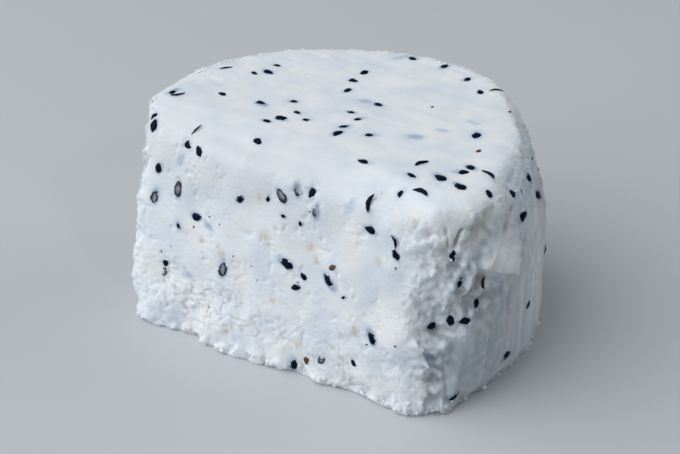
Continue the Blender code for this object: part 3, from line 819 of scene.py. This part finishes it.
def shape_husk(draw, thick, bend):
    """A thin curved husk, or a seed that lies on edge: an arc that thins out towards its ends."""
    bpy.ops.mesh.primitive_cylinder_add(vertices=10, radius=1.0, depth=2.0)
    husk = bpy.context.active_object
    cut_across(husk, 2.0, HUSK_CUTS)
    bpy.ops.mesh.select_all(action="SELECT")
    bpy.ops.transform.rotate(value=math.radians(90), orient_axis="Y", center_override=(0, 0, 0))
    bpy.ops.object.mode_set(mode="OBJECT")
    offset = Vector((draw.uniform(0, 50), 0.0, 0.0))
    for vertex in husk.data.vertices:
        x, y, z = vertex.co
        taper = 0.12 + 0.88 * max(0.0, 1 - x * x) ** 0.8
        rough = 1 + 0.5 * noise.noise(vertex.co * 2.0 + offset)
        up = 0.7 + z * 0.3 * (0.6 + 0.4 * taper)
        vertex.co = Vector((x, y * thick * taper * rough + bend * (0.5 - x * x), up))
    return husk


def place_copies(name, shapes, matrices):
    """Copies of the shapes in turn, one at each matrix, joined into one piece."""
    copies = []
    for index, matrix in enumerate(matrices):
        source = shapes[index % len(shapes)]
        copy = add_object(name, source.data.copy())
        copy.data.transform(matrix)
        copies.append(copy)
    select_only(copies[0])
    for copy in copies:
        copy.select_set(True)
    bpy.ops.object.join()
    piece = bpy.context.active_object
    piece.name = name
    piece.data.shade_smooth()
    for source in shapes:
        bpy.data.objects.remove(source, do_unlink=True)
    return piece


def make_seeds(block, plain):
    """The seeds by kind, and every seed's matrix, for the shimmer round it."""
    draw = random.Random(SHAPE_SEED)
    rough = surface_of(block)
    by_kind = {"w": [], "c": [], "h": [], "b": []}
    for place in seed_places():
        kind = place[5]
        proud = PROUD[kind] * SUNK[place[0]] + draw.uniform(*PROUD_SPREAD) * (kind != "c")
        top = CUT_TOP if kind == "c" else 1.0
        dip = Matrix.Rotation(math.radians(draw.uniform(-DIP, DIP) * (kind == "w")), 4, "Y")
        proud = min(proud, PROUD_LIMIT * place[3])
        by_kind[kind].append(lie_on(place, rough, plain, proud, top) @ dip)
    whole = [shape_whole_seed(draw) for _ in range(WHOLE_SHAPES)]
    pieces = {"w": place_copies("whole_seeds", whole, by_kind["w"])}
    cut = [shape_cut_seed(draw) for _ in range(CUT_SHAPES)]
    pieces["c"] = place_copies("cut_seeds", cut, by_kind["c"])
    husks = [shape_husk(draw, *husk) for husk in HUSKS]
    pieces["h"] = place_copies("seed_husks", husks, by_kind["h"])
    brown = [shape_whole_seed(draw) for _ in range(BROWN_SHAPES)]
    pieces["b"] = place_copies("brown_slivers", brown, by_kind["b"])
    seen = [matrix for kind in "wc" for matrix in by_kind[kind]]
    buried = [lie_on(place, rough, plain, 0.0) for place in BURIED_SEEDS]
    return pieces, seen, buried


def paint_shimmer(block, seen, buried):
    """Paints how much of a dark seed shows through the cheese, beside some seeds and over buried ones."""
    count = len(block.data.vertices)
    points = np.empty(count * 3)
    block.data.vertices.foreach_get("co", points)
    points = points.reshape(-1, 3)
    shade = np.zeros(count)
    draw = random.Random(SHIMMER_SEED)
    for index, matrix in enumerate([*seen, *buried]):
        centre = np.array(matrix.translation)
        near = np.nonzero(np.abs(points - centre).max(axis=1) < SHIMMER_LIMIT * MM)[0]
        is_buried = index >= len(seen)
        strength = draw.uniform(*BURIED_STRENGTH) if is_buried else draw.choice(SEEN_STRENGTHS)
        reach = draw.uniform(*(BURIED_REACH if is_buried else SEEN_REACH))
        shift = np.array([draw.choice((-0.2, 0.2)), draw.uniform(-0.25, 0.25), 0.0])
        inverse = np.array(matrix.inverted())
        local = points[near] @ inverse[:3, :3].T + inverse[:3, 3] - shift
        size = np.array([column.length / MM for column in matrix.to_3x3().col])
        local[:, 0] *= 0.85
        local[:, 2] *= 0.5
        out = np.sqrt((local**2).sum(axis=1))
        beyond = np.maximum(out - 0.8, 0.0) * size[1]
        shade[near] = np.maximum(shade[near], strength * np.exp(-((beyond / reach) ** 2)))
    paint(block, "shimmer", shade)


def paint_stains(block):
    """Paints cream and tan stains on the cut face."""
    values = []
    for vertex in block.data.vertices:
        x, y, z = vertex.co / MM
        value = 0.0
        if y < -10:
            for stain_x, stain_z, radius in STAINS:
                away = math.hypot(x - stain_x, z - stain_z) / radius
                if away < 3:
                    away += 0.8 * noise.noise(vertex.co / MM / 0.8)
                    value = max(value, math.exp(-away * abs(away)))
        values.append(value)
    paint(block, "stain", values)


def paint_zones(block, plain):
    """Paints the smooth moist top, the rind's greyer waxy skin with painted shade, greyer torn cheese with
    painted shade in its hollows, and painted shade on the upper cut face below the top.
    """
    rows = []
    for vertex in block.data.vertices:
        point = vertex.co / MM
        normal = plain.find_nearest(vertex.co)[1]
        on_top, _, on_rind = surface_zones(point, normal)
        angle = math.degrees(math.atan2(point.y, point.x))
        begins, ends, facing = RIGHT_RIM
        right_rim = smooth_step(*begins, angle) * smooth_step(*ends, angle) * smooth_step(*facing, normal.z)
        patchy = smooth_step(-0.5, 0.3, bumps(point, 2.0))
        pale = min(1.0, swelling(PALE_PLACES, angle, point.z))
        # The rind's greyer colour, and the right rim's: partly the skin's own, partly painted shade of the
        # side turned from the light.
        rind = on_rind * smooth_step(*RIND_TOP, point.z) * (1 - 0.9 * pale)
        rind = max(rind, (0.45 + 0.45 * patchy) * right_rim)
        # Painted shade on the upper band of the cut face, darker towards the top and the left.
        upper_cut_shade = smooth_step(*SHADE_UP, point.z) * smooth_step(*SHADE_ALONG, point.x)
        upper_cut_shade *= smooth_step(0.1, 0.6, normal.dot(KNIFE_NORMAL))
        # Wet torn cheese, greyer and glossier: partly its own colour, partly painted shade in the hollows and
        # on the lower rind.
        wet_and_shade = min(1.0, swelling(WET_AND_SHADE_PLACES, angle, point.z)) * (1 - on_top) * patchy
        rows.append((on_top, rind, wet_and_shade, upper_cut_shade))
    for name, values in zip(("top_zone", "rind_zone", "wet_and_shade", "upper_cut_shade"), zip(*rows)):
        paint(block, name, values)


# -------- crumbs
def crumb_places(draw):
    """Every crumb as (zone, first, second, size, flatness), with its two coordinates in its zone, in mm."""
    places = []

    def scatter(count, zone, first, second, size, flat=0.8):
        for _ in range(count):
            places.append((zone, first(), second(), size(), flat))

    def even(low, high):
        return lambda: draw.uniform(low, high)

    def small_ones(low, high):
        return lambda: low + (high - low) * draw.random() ** 3

    def low_down(spread):
        return lambda: abs(draw.gauss(0, spread)) + 0.4

    scatter(45, "cut", even(-43, 42), low_down(1.2), small_ones(1.0, 2.4), 0.7)
    scatter(40, "rind", even(-38, 30), low_down(1.0), small_ones(0.8, 2.0))
    scatter(60, "rind", even(30, 210), low_down(0.8), small_ones(0.5, 2.2), 0.6)
    scatter(12, "cut", even(21, 34), even(0.5, 5.0), small_ones(1.3, 2.4), 0.45)
    scatter(90, "rim", even(105, 175), lambda: draw.gauss(42, 7), small_ones(0.6, 1.3))
    scatter(40, "rim", even(175, 204), lambda: draw.gauss(16, 10), small_ones(0.5, 1.2))
    scatter(50, "rim", even(45, 105), lambda: draw.gauss(34, 9), small_ones(0.5, 1.1))
    for _ in range(60):
        z = draw.uniform(1, 50)
        edge_angle = 212.6 - 11.2 * z / HEIGHT - abs(draw.gauss(0, 1.2))
        places.append(("rind", edge_angle, z, 0.45 + 0.9 * draw.random() ** 3, 0.7))
    scatter(40, "cut", even(-40, 40), even(2, 26), small_ones(0.35, 0.9))
    degrees_per_mm = 360 / math.tau / BASE_RADIUS
    for zone, seeds, per_mm in (("cut", CUT_FACE_SEEDS, 1.0), ("rind", RIND_SEEDS, degrees_per_mm)):
        for first, second, length, *_ in seeds:
            for _ in range(FLECKS_BY_SEED):
                bearing = draw.uniform(0, math.tau)
                away = 0.36 * length
                beside = first + math.cos(bearing) * away * per_mm, second + math.sin(bearing) * away
                places.append((zone, *beside, draw.uniform(0.35, 0.8), 0.9))
    places += [("top", 1.2, 46.2, 2.2, 0.9), ("top", 2.6, 46.4, 1.4, 0.9), ("top", -0.2, 46.0, 1.2, 0.9)]
    places.append(("rind", 204.0, 43.4, 2.4, 0.6))
    places.append(("rind", 207.0, 31.0, 2.0, 0.6))
    return places


def make_crumbs(block):
    """Loose crumbs that stick to the foot, the rims and the torn corner."""
    draw = random.Random(CRUMB_SEED)
    shapes = []
    for _ in range(CRUMB_SHAPES):
        bpy.ops.mesh.primitive_ico_sphere_add(subdivisions=2, radius=1.0)
        crumb = bpy.context.active_object
        offset = any_place(draw)
        for vertex in crumb.data.vertices:
            rough = 1 + 0.7 * noise.noise(vertex.co * 1.2 + offset)
            vertex.co *= rough + 0.35 * noise.noise(vertex.co * 2.6 + offset)
        shapes.append(crumb)
    rough = surface_of(block)
    matrices = []
    for zone, first, second, size, flatness in crumb_places(draw):
        start, inward = ray_to(zone, first, second)
        spot, facing = rough.ray_cast(start * MM, inward)[:2]
        if spot is None:
            continue
        centre = spot - facing * (CRUMB_SUNK * size * MM)
        centre.z = max(centre.z, 0.4 * size * MM)
        lean = Vector([draw.gauss(0, CRUMB_LEAN) for _ in range(3)])
        upright = (facing + lean).to_track_quat("Z", "Y").to_matrix().to_4x4()
        spun = Matrix.Rotation(draw.uniform(0, FULL_TURN), 4, "Z")
        half = size * MM / 2
        stretch = Matrix.Diagonal((half, half * draw.uniform(0.6, 1.0), half * flatness, 1.0))
        matrices.append(Matrix.Translation(centre) @ upright @ spun @ stretch)
    crumbs = place_copies("crumbs", shapes, matrices)
    for vertex in crumbs.data.vertices:
        vertex.co.z = max(0.0, vertex.co.z)
    return crumbs


# -------- materials
def srgb(code):
    """A linear colour from an sRGB hex code."""
    channels = [int(code[start : start + 2], 16) / 255 for start in (0, 2, 4)]
    linear = [c / 12.92 if c <= 0.04045 else ((c + 0.055) / 1.055) ** 2.4 for c in channels]
    return (*linear, 1.0)


def set_up(tree, made, settings):
    """Sets a node's properties by name, and its sockets by name or number, each to a value or a link."""
    for key, value in settings.items():
        if isinstance(value, bpy.types.NodeSocket):
            tree.links.new(value, made.inputs[key])
        elif isinstance(key, int) or key in made.inputs:
            made.inputs[key].default_value = value
        else:
            setattr(made, key, value)
    return made


def node(tree, kind, settings):
    """Adds a shader node with its settings and links."""
    return set_up(tree, tree.nodes.new("ShaderNode" + kind), settings)


def new_material(name):
    """A material, its node tree, its shader, and the place on the piece for its patterns."""
    material = bpy.data.materials.new(name)
    material.use_nodes = True
    tree = material.node_tree
    return material, tree, tree.nodes["Principled BSDF"], node(tree, "TexCoord", {}).outputs["Object"]


def mottled(tree, place, scale, detail, first, second, low=0.0, high=1.0):
    """Two hex colours in soft patches, and the noise that parts them between low and high."""
    patches = node(tree, "TexNoise", {"Scale": scale, "Detail": detail, "Vector": place}).outputs["Fac"]
    share = node(tree, "MapRange", {"From Min": low, "From Max": high, "Value": patches}).outputs[0]
    colours = {"data_type": "RGBA", 0: share, 6: srgb(first), 7: srgb(second)}
    return node(tree, "Mix", colours).outputs[2], patches


def tinted(tree, colour, zone, strength, tint):
    """The colour with a tint over it, so strong where a zone is fully painted on the mesh."""
    painted = node(tree, "Attribute", {"attribute_name": zone}).outputs["Fac"]
    share = node(tree, "Math", {"operation": "MULTIPLY", 0: painted, 1: strength}).outputs[0]
    return node(tree, "Mix", {"data_type": "RGBA", 0: share, 6: colour, 7: tint}).outputs[2]


def cheese_finish():
    """Fresh white cheese curd, pressed and cut: a cool milky white that light sinks into, moist on top."""
    material, tree, shader, place = new_material("fresh_white_cheese")
    # Mottling: clouds about 9 mm across.
    colour, _ = mottled(tree, place, 110.0, 4.0, "E3E9F1", "F4F6F8", 0.35, 0.65)
    # Painted shade on the upper band of the cut face.
    colour = tinted(tree, colour, "upper_cut_shade", 0.6, srgb("D9DCE0"))
    # The rind is waxier, with warm upright streaks about 3 mm wide and 20 mm long; its greyer colour is
    # partly the skin's own and partly painted shade of the side turned from the light.
    upright = node(tree, "Mapping", {"Scale": (1.0, 1.0, 0.16), "Vector": place}).outputs[0]
    rind_and_shade_colour, _ = mottled(tree, upright, 300.0, 3.0, "B4C0C9", "C6C8C8", 0.35, 0.65)
    colour = tinted(tree, colour, "rind_zone", 0.9, rind_and_shade_colour)
    # Wet torn cheese is a translucent grey, partly painted shade in its hollows and on the lower rind; cracks
    # and torn recesses get a warm painted shade, and stains are tan.
    colour = tinted(tree, colour, "wet_and_shade", 0.85, srgb("939DA6"))
    colour = tinted(tree, colour, "crack", 0.55, srgb("B3B0A8"))
    colour = tinted(tree, colour, "stain", 0.5, srgb("C9AE84"))
    # Light blue where a seed lies a little way under the surface, dark where the film over it is thin.
    shimmer = node(tree, "Attribute", {"attribute_name": "shimmer"}).outputs["Fac"]
    faint = node(tree, "MapRange", {"From Max": 0.5, "To Max": 0.6, "Value": shimmer}).outputs[0]
    bluish = {"data_type": "RGBA", "blend_type": "MULTIPLY", 0: faint, 6: colour, 7: srgb("BBCDE6")}
    strong = node(tree, "MapRange", {"From Min": 0.35, "To Max": 0.85, "Value": shimmer}).outputs[0]
    dark = {"data_type": "RGBA", 0: strong, 6: node(tree, "Mix", bluish).outputs[2], 7: srgb("2C3E60")}
    # Moist and smooth on top and in the wet hollows, matt and grainy where it was cut.
    top = node(tree, "Attribute", {"attribute_name": "top_zone"}).outputs["Fac"]
    wet_and_shade = node(tree, "Attribute", {"attribute_name": "wet_and_shade"}).outputs["Fac"]
    dry = node(tree, "MapRange", {"To Min": 0.62, "To Max": 0.45, "Value": top}).outputs[0]
    moist = {"From Min": 0.5, "To Min": dry, "To Max": 0.08, "Value": wet_and_shade}
    # Grain: grits 0.7 mm across with finer ones on them.
    grits = {"Scale": 1400.0, "Detail": 5.0, "Roughness": 0.65, "Vector": place}
    grain = node(tree, "TexNoise", grits).outputs["Fac"]
    depth = node(tree, "MapRange", {"To Min": 1.0, "To Max": 0.25, "Value": top}).outputs[0]
    look = {
        "Base Color": node(tree, "Mix", dark).outputs[2],
        "Roughness": node(tree, "MapRange", moist).outputs[0],
        "Normal": node(tree, "Bump", {"Distance": 0.00022, "Height": grain, "Strength": depth}).outputs[0],
        "Subsurface Weight": 0.85,
        "Subsurface Radius": (1.0, 0.9, 0.8),
        "Subsurface Scale": 0.0009,
        "IOR": 1.4,
    }
    set_up(tree, shader, look)
    return material


def seed_finish():
    """Nigella seed coat: near-black navy, with pits 0.7 mm across and finer ones, and a dull sheen."""
    material, tree, shader, place = new_material("nigella_seed_coat")
    colour, pits = mottled(tree, place, 1500.0, 4.0, "040A16", "0D1B35")
    bump = node(tree, "Bump", {"Strength": 0.7, "Distance": 0.0001, "Height": pits}).outputs[0]
    sheen = {"Roughness": 0.35, "Specular IOR Level": 0.05}
    set_up(tree, shader, {"Base Color": colour, "Normal": bump, **sheen})
    return material


def cut_seed_finish():
    """A cut nigella seed: the black coat is a ring round a grey-white kernel with grains of 0.7 mm."""
    material, tree, shader, place = new_material("cut_nigella_seed")
    kernel = node(tree, "Attribute", {"attribute_name": "kernel"}).outputs["Fac"]
    inside, _ = mottled(tree, place, 1500.0, 4.0, "4A505C", "A9AFB8")
    ring = {"data_type": "RGBA", 0: kernel, 6: srgb("0B0E18"), 7: inside}
    set_up(tree, shader, {"Base Color": node(tree, "Mix", ring).outputs[2], "Roughness": 0.5})
    return material


def brown_finish():
    """A nigella seed without its coat: orange-brown to black, in patches of 1.4 mm."""
    material, tree, shader, place = new_material("bare_brown_seed")
    colour, _ = mottled(tree, place, 700.0, 2.0, "20140F", "6B3F1E")
    set_up(tree, shader, {"Base Color": colour, "Roughness": 0.5})
    return material


def crumb_finish():
    """Dry crumbs of the same cheese: paler and matt, with grains of 1.1 mm and finer ones."""
    material, tree, shader, place = new_material("cheese_crumbs")
    colour, grain = mottled(tree, place, 900.0, 4.0, "EEF2F6", "F8F9F9")
    look = {
        "Base Color": colour,
        "Roughness": 0.6,
        "Normal": node(tree, "Bump", {"Strength": 0.6, "Distance": 0.0002, "Height": grain}).outputs[0],
        "Subsurface Weight": 0.6,
        "Subsurface Radius": (1.0, 0.95, 0.9),
        "Subsurface Scale": 0.0005,
    }
    set_up(tree, shader, look)
    return material


def floor_finish():
    """A plain pale painted table."""
    material, tree, shader, _ = new_material("pale_table")
    set_up(tree, shader, {"Base Color": srgb("C6C9CC"), "Roughness": 0.75})
    return material


# -------- stage
CAMERA_AZIMUTH, CAMERA_ELEVATION = 34.4, 30.7
CAMERA_TARGET = Vector((0.46, -1.38, 27.0))
CAMERA_DISTANCE = 452.6
CAMERA_LENS = 95.3
CAMERA_SENSOR = 36.0
CAMERA_SHIFT = (0.0059, 0.0010)
NEAREST_SEEN = 10.0
LAMP_COLOUR = (0.95, 0.98, 1.0)
WORLD_STRENGTH = 0.22
SOFTBOXES = (  # azimuth, elevation, distance and width in metres, watts
    ("key_softbox", 317.0, 45.0, 1.3, 2.2, 22.8),
    ("side_softbox", 138.0, 30.0, 1.3, 0.8, 2.8),
    ("glint_lamp", 66.0, 40.0, 1.0, 0.06, 0.45),
)


def looking_back(azimuth, elevation):
    """The direction from the block to something at an azimuth and elevation."""
    turn, rise = math.radians(azimuth), math.radians(elevation)
    return Vector((math.sin(turn) * math.cos(rise), -math.cos(turn) * math.cos(rise), math.sin(rise)))


def make_camera():
    data = bpy.data.cameras.new("camera")
    camera = add_object("camera", data)
    back = looking_back(CAMERA_AZIMUTH, CAMERA_ELEVATION)
    camera.location = (CAMERA_TARGET + back * CAMERA_DISTANCE) * MM
    camera.rotation_euler = back.to_track_quat("Z", "Y").to_euler()
    data.lens = CAMERA_LENS
    data.sensor_width = CAMERA_SENSOR
    data.shift_x, data.shift_y = CAMERA_SHIFT
    data.clip_start = NEAREST_SEEN * MM
    bpy.context.scene.camera = camera


def add_softbox(name, azimuth, elevation, distance, size, power):
    data = bpy.data.lights.new(name, "AREA")
    data.shape = "DISK"
    data.size = size
    data.energy = power
    data.color = LAMP_COLOUR
    light = add_object(name, data)
    toward = looking_back(azimuth, elevation)
    light.location = CAMERA_TARGET * MM + toward * distance
    light.rotation_euler = toward.to_track_quat("Z", "Y").to_euler()


def make_stage():
    bpy.ops.mesh.primitive_plane_add(size=3.0, location=(0.0, 0.0, -0.0001))
    floor = bpy.context.active_object
    floor.name = "table_top"
    floor.data.materials.append(floor_finish())
    for softbox in SOFTBOXES:
        add_softbox(*softbox)
    world = bpy.data.worlds.new("studio")
    bpy.context.scene.world = world
    world.use_nodes = True
    background = world.node_tree.nodes["Background"]
    background.inputs["Color"].default_value = srgb("DDE4EC")
    background.inputs["Strength"].default_value = WORLD_STRENGTH
    bpy.context.scene.view_settings.view_transform = "Standard"


# -------- all together
def dress(piece, material):
    piece.data.materials.clear()
    piece.data.materials.append(material)
    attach(piece, "root")


block, plain = make_block()
seed_pieces, seen_seeds, buried_seeds = make_seeds(block, plain)
paint_shimmer(block, seen_seeds, buried_seeds)
paint_stains(block)
paint_zones(block, plain)
crumbs = make_crumbs(block)

dress(block, cheese_finish())
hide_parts("tulum_cheese")
dress(seed_pieces["w"], seed_finish())
dress(seed_pieces["h"], seed_pieces["w"].data.materials[0])
dress(seed_pieces["c"], cut_seed_finish())
dress(seed_pieces["b"], brown_finish())
dress(crumbs, crumb_finish())
make_camera()
make_stage()
